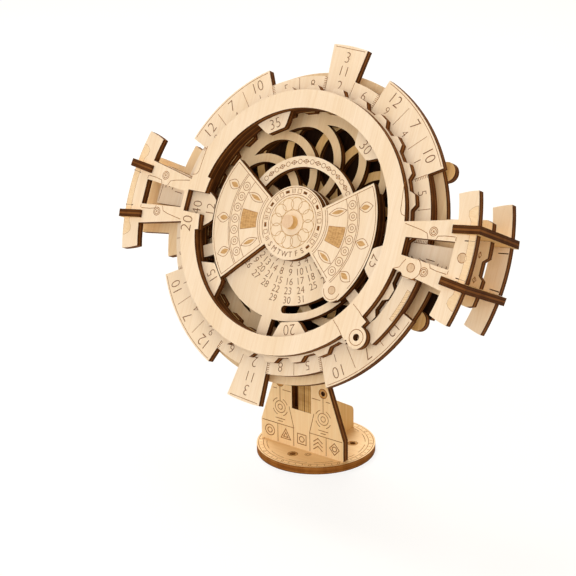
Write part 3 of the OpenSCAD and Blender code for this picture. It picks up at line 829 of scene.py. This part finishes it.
# %% Roundels of the front frame
LUG_HOLE = at(59.2, -40.4)
ROUNDELS = ((67.3, 7.6), (67.3, -8.2), (-67.9, 8.5), (-68, -7.3))

roundels = [ring(3.15, LUG_HOLE), ring(1.7, CLICK_EAR), ring(1.9, (BAR_MID, 0))]
for middle in ROUNDELS:
    roundels += [ring(1.75, middle), ring(1.15, middle)]
    roundels += moved([line((-0.6, 0), (0.6, 0)), line((0, -0.6), (0, 0.6))], 45, middle)
engrave("frame_roundels", roundels, FRONT, "frame", ROUNDEL_LINE)

# %% Strips, slits and the first half of the year
strip_end = [at(85, 13.6), at(83.4, 13.2), at(82.1, 12.5), at(82, 11.2), at(83.1, 9.7)]
strip_start = [(u, -v) for u, v in reversed(strip_end)]
strip_rim = arc_points(BAR_OUT - 0.25, -13.6, 13.6)
strip = loop(*strip_rim, *strip_end, *arc_points(83.1, 9, -9), *strip_start)
strips = [strip, *moved([strip], 180)]
scorch("bar_strips", strips, FRONT, "frame", ink_pale)
engrave("bar_strip_rims", strips, FRONT, "frame", RIM_LINE)
right_slits = [line((81.2, 6.5), (85.6, 7)), line((81.2, -7.8), (85.6, -8.2))]
left_slits = [line((-86, 8.2), (-82, 7.6)), line((-86, -7.2), (-82, -6.8))]
engrave("bar_slits", right_slits + left_slits, FRONT, "frame", SLIT_LINE, ink_slit_and_shade)
engrave("rear_bar_slits", right_slits, dial_layer(REAR_DEPTH), "frame", SLIT_LINE, ink_slit_and_shade)
write("year_first_half", [("20", (-50.5, -9.5), 90, 5.5)], FRONT, "frame")

# %% [markdown]
# ## The year ring
# Six tabs of the year ring reach inward and carry year numbers. The calendar repeats after
# 28 years, so two years that are 28 apart share one place. The tab that stands in the slot
# shows both. A table gives each number its step, so that the angles needn't be written out.

# %% Number the year ring
YEAR = dial_layer(YEAR_DEPTH)
STEP = 360 / 28
YEAR_TAB = -10.7
YEAR_TABS = {0: "25", 5: "30", 10: "35", 18: "15", 23: "20"}
TAB_R, TAB_HEIGHT = 43.8, 4.6

year_words = []
for step, text in YEAR_TABS.items():
    year_words.append(outward(text, TAB_R, YEAR_TAB + step * STEP, TAB_HEIGHT))
slot_tab = YEAR_TAB + 15 * STEP
year_words += [outward("12", 42.8, slot_tab, 4.4), outward("40", 50, slot_tab, 4.8)]
write("year_numbers", year_words, YEAR, "year_wheel")

# %% [markdown]
# ## The month ring
# The month ring is four equal quarters. Each has a tall tab with three months, a wide tab
# with six, and single months between them. Months that begin on the same weekday share a
# field, which is why 3 stands above 11. One quarter is described and then repeated.

# %% Number the month ring
MONTH = dial_layer(MONTH_DEPTH)
MONTH_START = -10.25
# Each month has its step in the quarter, its radius and its height.
MONTH_WORDS = (
    ("3", 0, 70.6, 4.7), ("11", 0, 64.9, 4.4), ("2", 0, 58.6, 4.6),
    ("8", 1, 58.4, 4), ("5", 2, 58.4, 4), ("6", 6, 58.4, 4),
    ("10", 3, 64.6, 5), ("1", 3, 59, 3.5), ("7", 4, 64.6, 5), ("4", 4, 59, 3.5),
    ("12", 5, 64.6, 5), ("9", 5, 59, 3.5))


def field(step):
    """The angle at the middle of a field, counted from a quarter's start."""
    return MONTH_START + (step + 0.5) * STEP


month_words = []
for quarter in range(4):
    for text, step, radius, height in MONTH_WORDS:
        month_words.append(outward(text, radius, field(step) + quarter * 90, height))
write("month_numbers", month_words, MONTH, "month_wheel")

# %% Lines of the month ring
MONTH_WIDE, MONTH_TALL = 68.9, 75.3
INSET = 0.8
SHORT_FROM, SHORT_TO = 56, 61.6
LONG_FROM, LONG_TO = 57, 66.4
COMB_FROM, FIRST_TOOTH = 55.8, 56.2
TEETH, TOOTH_STEP, TOOTH_TURN = 8, 0.75, 1.15


def comb(angle, side):
    """A short radial line with teeth on one side."""
    strokes = [spoke(COMB_FROM, SHORT_TO, angle)]
    for tooth in range(TEETH):
        radius = FIRST_TOOTH + tooth * TOOTH_STEP
        strokes.append(line(at(radius, angle), at(radius, angle + side * TOOTH_TURN)))
    return strokes


month_lines = []
tall_rim = MONTH_TALL - INSET
for quarter in range(4):
    start = MONTH_START + quarter * 90
    month_lines.append(arc(MONTH_WIDE - INSET, start + 3 * STEP + INSET, start + 6 * STEP - INSET))
    month_lines.append(line(at(tall_rim, start + INSET), at(tall_rim, start + STEP - INSET)))
    month_lines += [spoke(LONG_FROM, LONG_TO, start + edge * STEP) for edge in (4, 5)]
    month_lines += [spoke(SHORT_FROM, SHORT_TO, start + edge * STEP) for edge in (2, 7, 0, 1)]
    month_lines += comb(start + 3 * STEP, -1) + comb(start + 6 * STEP, 1) + comb(start + STEP, 1)
engrave("month_lines", month_lines, MONTH, "month_wheel", FINE_LINE)

# %% [markdown]
# ## The date disc
# The dates stand in columns one weekday apart, and seven columns are seen at a time between
# the fans of the mask. All 31 places could be listed, but a column begins with a day of the
# first week and goes on in steps of seven, so a loop finds them. The arch above has a chain
# of beads and knots, which are two small shapes in turn.

# %% Number the date disc
DATE_START = -95
DATE_ROWS = (15.9, 19.7, 23.5, 27.3, 31.1)
DATE_HEIGHT = 3

date_words = []
for column in range(-6, 7):
    first = 1 + column if column >= 0 else 8 + column
    for radius, day in zip(DATE_ROWS, range(first, 32, 7)):
        date_words.append(inward(str(day), radius, DATE_START + column * STEP, DATE_HEIGHT))
write("date_numbers", date_words, MONTH, "month_wheel", THIN_DATE)

# %% Beads of the arch
ARCH_R = 26.1
BEADS, FIRST_BEAD, BEAD_STEP = 9, 38, 13

arch_strokes = [ring(0.95, at(ARCH_R, FIRST_BEAD + bead * BEAD_STEP)) for bead in range(BEADS)]
diamond = loop((-1.5, 0), (0, -0.9), (1.5, 0), (0, 0.9))
cross = [line((-1.5, 0), (1.5, 0)), line((0, -0.9), (0, 0.9))]
for knot in range(BEADS - 1):
    angle = FIRST_BEAD + BEAD_STEP / 2 + knot * BEAD_STEP
    arch_strokes += moved([diamond, *cross], angle + 90, at(ARCH_R, angle))
engrave("arch_beads", arch_strokes, MONTH, "month_wheel", FINE_LINE)

# %% [markdown]
# ## The weekday mask
# The mask's round middle has the seven weekday letters at its lower rim and a row of small
# fields round the rest. A rosette of overlapping circles fills the space round the cap. It is
# a plain turned pattern: one circle, repeated about the middle.

# %% Letter the weekday mask
LETTER_R, LETTER_HEIGHT = 12.9, 2.3
PETALS, PETAL_R = 12, 2.65

weekday_words = []
for place, letter in enumerate("SMTWTFS"):
    weekday_words.append(inward(letter, LETTER_R, -90 + (place - 3) * STEP, LETTER_HEIGHT))
write("weekday_letters", weekday_words, YEAR, "frame", THIN_LETTER)

rosette = [ring(2 * PETAL_R), ring(4 * PETAL_R)]
for petal in range(PETALS):
    rosette.append(ring(PETAL_R, at(3 * PETAL_R, petal * 360 / PETALS)))
engrave("mask_rosette", rosette, YEAR, "frame", FINE_LINE, ink_gold)

# %% Fields round the mask
FIELDS = 21

fields = [arc(11.6, -35, 215), arc(14.7, -35, 215)]
dark_fields = []
for step in range(FIELDS):
    angle = -90 + (step + 4) * STEP
    if step % 3 == 0:
        dark_fields.append(band(12.6, 13.7, angle - 4, angle + 4))
    elif step % 3 == 1:
        fields.append(band(12.3, 14, angle - 3.6, angle + 3.6))
    else:
        fields += [spoke(12.2, 14.1, angle + tick) for tick in (-3, 0, 3)]
engrave("mask_fields", fields, YEAR, "frame", FINE_LINE)
scorch("mask_dark_fields", dark_fields, YEAR, "frame", ink_number)

# %% [markdown]
# ## The fans of the mask
# The two fans hide the dates that aren't in use. Their ornament is made of plain parts: bands
# that follow the rim, a chain of rings, leaves that point outward and a hatched field. One
# fan is drawn about its own middle line and then turned to both places.

# %% Rims of the fans
FAN_OUT = 40.1
FANS = ((-41, 33), (147.5, 224.5))
SIDE_FROM = 17
PEG_RING, PEG_ANGLE, LOBE_R = 35, -40.7, 4.6
# Each band has its radius and, in degrees, how far it stays off the fan's sides.
FAN_BANDS = ((16.2, 4), (17.1, 4), (26.6, 2.4), (31.2, 2), (31.9, 2))


def fan_rims(middle, half):
    """The lines that follow a fan's outline, about its own middle line."""
    has_lobe = middle < 90
    lower_end = -half + 9 if has_lobe else -half + 1.5
    lower_corner = at(29.6, -half + 2) if has_lobe else at(FAN_OUT - INSET, -half + 1.5)
    border = arc_points(FAN_OUT - INSET, half - 1.5, lower_end)
    strokes = [line(at(SIDE_FROM, half - 3.4), *border), line(lower_corner, at(SIDE_FROM, -half + 3.4))]
    if has_lobe:
        lobe = at(PEG_RING, PEG_ANGLE - middle)
        strokes += [arc(LOBE_R - INSET, -175, -5, lobe), ring(1.6, lobe)]
    strokes += [arc(radius, -half + margin, half - margin) for radius, margin in FAN_BANDS]
    return strokes


print("each fan has", len(FAN_BANDS), "bands between its sides")

# %% Ornament for the fans
HATCH_IN, HATCH_OUT, HATCH_HALF = 18, 25.8, 9.5

ornament = []
for link in range(-3, 4):
    centre = at(28.9, link * 9.4)
    ornament += [ring(1.75, centre), ring(0.7, centre)]
patches = []
for leaf_angle in (-24, 0, 24):
    ornament.append(leaf(at(32, leaf_angle), at(38.2, leaf_angle), 2.1))
    patches.append(leaf(at(32.6, leaf_angle), at(36.8, leaf_angle), 1.1))
for leaf_angle in (-25, 25):
    ornament.append(leaf(at(17.8, leaf_angle), at(26.2, leaf_angle), 1.6))
    patches.append(leaf(at(19, leaf_angle), at(25, leaf_angle), 0.8))
patches.append(band(HATCH_IN, HATCH_OUT, -HATCH_HALF, HATCH_HALF))
ornament += [arc(HATCH_IN + row * 1.3, -HATCH_HALF, HATCH_HALF) for row in range(7)]
ornament += [spoke(HATCH_IN, HATCH_OUT, tick) for tick in (-HATCH_HALF, -3.2, 3.2, HATCH_HALF)]

fan_lines = []
fan_patches = []
for low, high in FANS:
    middle = (low + high) / 2
    fan_lines += moved(fan_rims(middle, (high - low) / 2) + ornament, middle)
    fan_patches += moved(patches, middle)
engrave("fan_lines", fan_lines, YEAR, "frame", FINE_LINE)
scorch("fan_patches", fan_patches, YEAR, "frame")

# %% [markdown]
# ## The front plate of the stand
# The plate has a row of five fields at its foot, each with one plain figure, and a double
# ring with four short arcs below each of its two holes. A halo of scorched wood surrounds the
# holes. Both halves could be drawn line by line. Most lines come in pairs, one at each side,
# so a loop draws both. All this stands upright, with the foot of the stand at zero.

# %% Lines of the plate
def upright_layer(depth):
    """The matrix from a drawing in millimetres to an upright sheet, at a depth in metres."""
    return Matrix.Translation((0, depth, 0)) @ Matrix.Rotation(math.pi / 2, 4, "X") @ Matrix.Scale(MM, 4)


PLATE = upright_layer(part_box("stand_front_plate")[0][1])
HOLE_X, HOLE_Z, DISC_Z = 11.4, 32, 20.3
ROW_LOW, ROW_HIGH = 3.7, 12.2
SHOULDER_Z = 28.6

stand_lines = [line((-21.3, ROW_HIGH), (-4.2, ROW_HIGH), (-6.6, 21.6))]
stand_lines += [line((21.3, ROW_HIGH), (4.2, ROW_HIGH), (6.6, 21.6))]
stand_lines += [line((edge, ROW_LOW), (edge, ROW_HIGH)) for edge in (-12.9, -4.3, 4.3, 12.9)]
for side in (-1, 1):
    stand_lines.append(line((side * 15, SHOULDER_Z), (side * 12.9, SHOULDER_Z)))
    stand_lines.append(line((side * 10, SHOULDER_Z), (side * 5.6, SHOULDER_Z)))
halos = []
for side in (-1, 1):
    x = side * HOLE_X
    stand_lines += [ring(2.1, (x, HOLE_Z)), line((x, HOLE_Z - 2.1), (x, DISC_Z + 2.7))]
    stand_lines += [ring(2.7, (x, DISC_Z)), ring(1.2, (x, DISC_Z))]
    stand_lines += [arc(4.1, quarter * 90 + 22, quarter * 90 + 68, (x, DISC_Z)) for quarter in range(4)]
    stand_lines += [line((x - 2.6, 14.8), (x + 2.6, 14.8)), line((x - 1.4, 13.6), (x + 1.4, 13.6))]
    halos.append([ring(1.95, (x, HOLE_Z)), ring(1.2, (x, HOLE_Z))])
engrave("stand_lines", stand_lines, PLATE, "frame", PLATE_LINE)
scorch("stand_halos", halos, PLATE, "frame", ink_ember)

# %% Figures of the plate
FIGURE_Z = 8
two_rings = [ring(2.5), ring(1.2)]
two_triangles = [loop((-2.6, -2), (2.6, -2), (0, 2.6)), loop((-1.2, -1.2), (1.2, -1.2), (0, 0.9))]
ring_in_square = [loop((-2.3, -2.3), (2.3, -2.3), (2.3, 2.3), (-2.3, 2.3)), ring(1.3)]
chevrons = [line((-2.4, low), (0, low + 1.9), (2.4, low)) for low in (-2.8, -1, 0.8)]
ring_in_diamond = [loop((-2.5, 0), (0, -2.7), (2.5, 0), (0, 2.7)), ring(1.1)]
FIGURES = {
    -17.2: two_rings, -8.6: two_triangles, 0: ring_in_square, 8.6: chevrons, 17.2: ring_in_diamond}

figures = []
for x, strokes in FIGURES.items():
    figures += moved(strokes, shift=(x, FIGURE_Z))
engrave("stand_figures", figures, PLATE, "frame", FIGURE_LINE)

# %% [markdown]
# ## Painted shade in the joints
# Two sheets of the spine reach through the plate's slot, and the third one ends behind it.
# The joint between the two and the narrow play beside the third lie in shade. Darker sheets
# would show this on their outsides as well, so each joint has one thin dark line of painted
# shade instead.

# %% Paint shade into the joints
SLOT_LOW, SLOT_HIGH = 21.2, 48
HALF_PLAY = 0.05


def soot_in_joint(name, depth, x):
    """A dark upright line of painted shade in a joint of the stand, at a depth and a place across it."""
    joint = [line((x, SLOT_LOW), (x, SLOT_HIGH))]
    engrave(name, joint, upright_layer(depth), "frame", JOINT_LINE, ink_slit_and_shade)


tongue_low, tongue_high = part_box("stand_spine")
cheek_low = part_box("stand_cheek_left")[0]
soot_in_joint("tongue_seam", tongue_low[1], tongue_high[0] / MM)
soot_in_joint("cheek_seam", cheek_low[1], cheek_low[0] / MM - HALF_PLAY)

# %% [markdown]
# ## The base
# The base has two rings near its rim with 48 marks between them, every fourth a small circle,
# then twelve arcs inside these, and a halo round each of its three holes. A picture could
# carry all this, but strokes stay sharp from close by. They lie flat, so nothing is turned.

# %% Mark the base
base_low, base_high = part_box("base_disc")
BASE = Matrix.Translation((0, 0, base_high[2])) @ Matrix.Scale(MM, 4)
BASE_R = (base_high[0] - base_low[0]) / 2 / MM
BASE_HOLES = [at(16, angle) for angle in (-92, 28, 148)]
DOT = (5.1, -12.7)
MARKS = 48

base_lines = [ring(BASE_R - 0.8), ring(BASE_R - 2.9)]
for step in range(MARKS):
    angle = step * 360 / MARKS
    if step % 4:
        base_lines.append(spoke(BASE_R - 2.4, BASE_R - 1.3, angle))
    else:
        base_lines.append(ring(0.55, at(BASE_R - 1.85, angle)))
base_lines += [ring(1.3, DOT), ring(0.7, DOT)]
base_lines += [arc(BASE_R - 4.4, start * 30 + 4, start * 30 + 26) for start in range(12)]
base_lines += [ring(2.2, hole) for hole in BASE_HOLES]
engrave("base_lines", base_lines, BASE, "frame", SEAM_LINE)
base_halos = [[ring(2, hole), ring(1.38, hole)] for hole in BASE_HOLES]
scorch("base_halos", base_halos, BASE, "frame", ink_ember)

# %% [markdown]
# ## The click arm and the right paddle
# The springy arm has a hatched strip along its outer edge, and the right paddle two small
# marks near its end. At rest the strip would look the same if it rode on the frame. It rides
# on the arm's own body, so that it swings with the arm.

# %% Mark the arm and the paddle
ARM_IN, ARM_OUT = 62.3, 63.9
strip_on_arm = band(ARM_IN, ARM_OUT, -27, -15)
hatch = [line(at(ARM_IN, -27 + tick), at(ARM_OUT, -26 + tick)) for tick in range(12)]
scorch("arm_strip", [strip_on_arm], YEAR, "click", ink_pale)
engrave("arm_hatch", [strip_on_arm, *hatch], YEAR, "click", HATCH_LINE)

split_diamond = [loop((-0.8, 0), (0, -1.2), (0.8, 0), (0, 1.2)), line((0, -1.2), (0, 1.2))]
paddle_marks = []
for centre in ((81.2, 3.4), (81.4, -6.3)):
    paddle_marks += moved(split_diamond, shift=centre)
paddle_marks += [line((79.9, 6), (79.9, -8.4)), line((56, -0.9), (58.2, -1.1))]
engrave("paddle_marks", paddle_marks, dial_layer(MIDDLE_DEPTH), "frame", FINE_LINE)
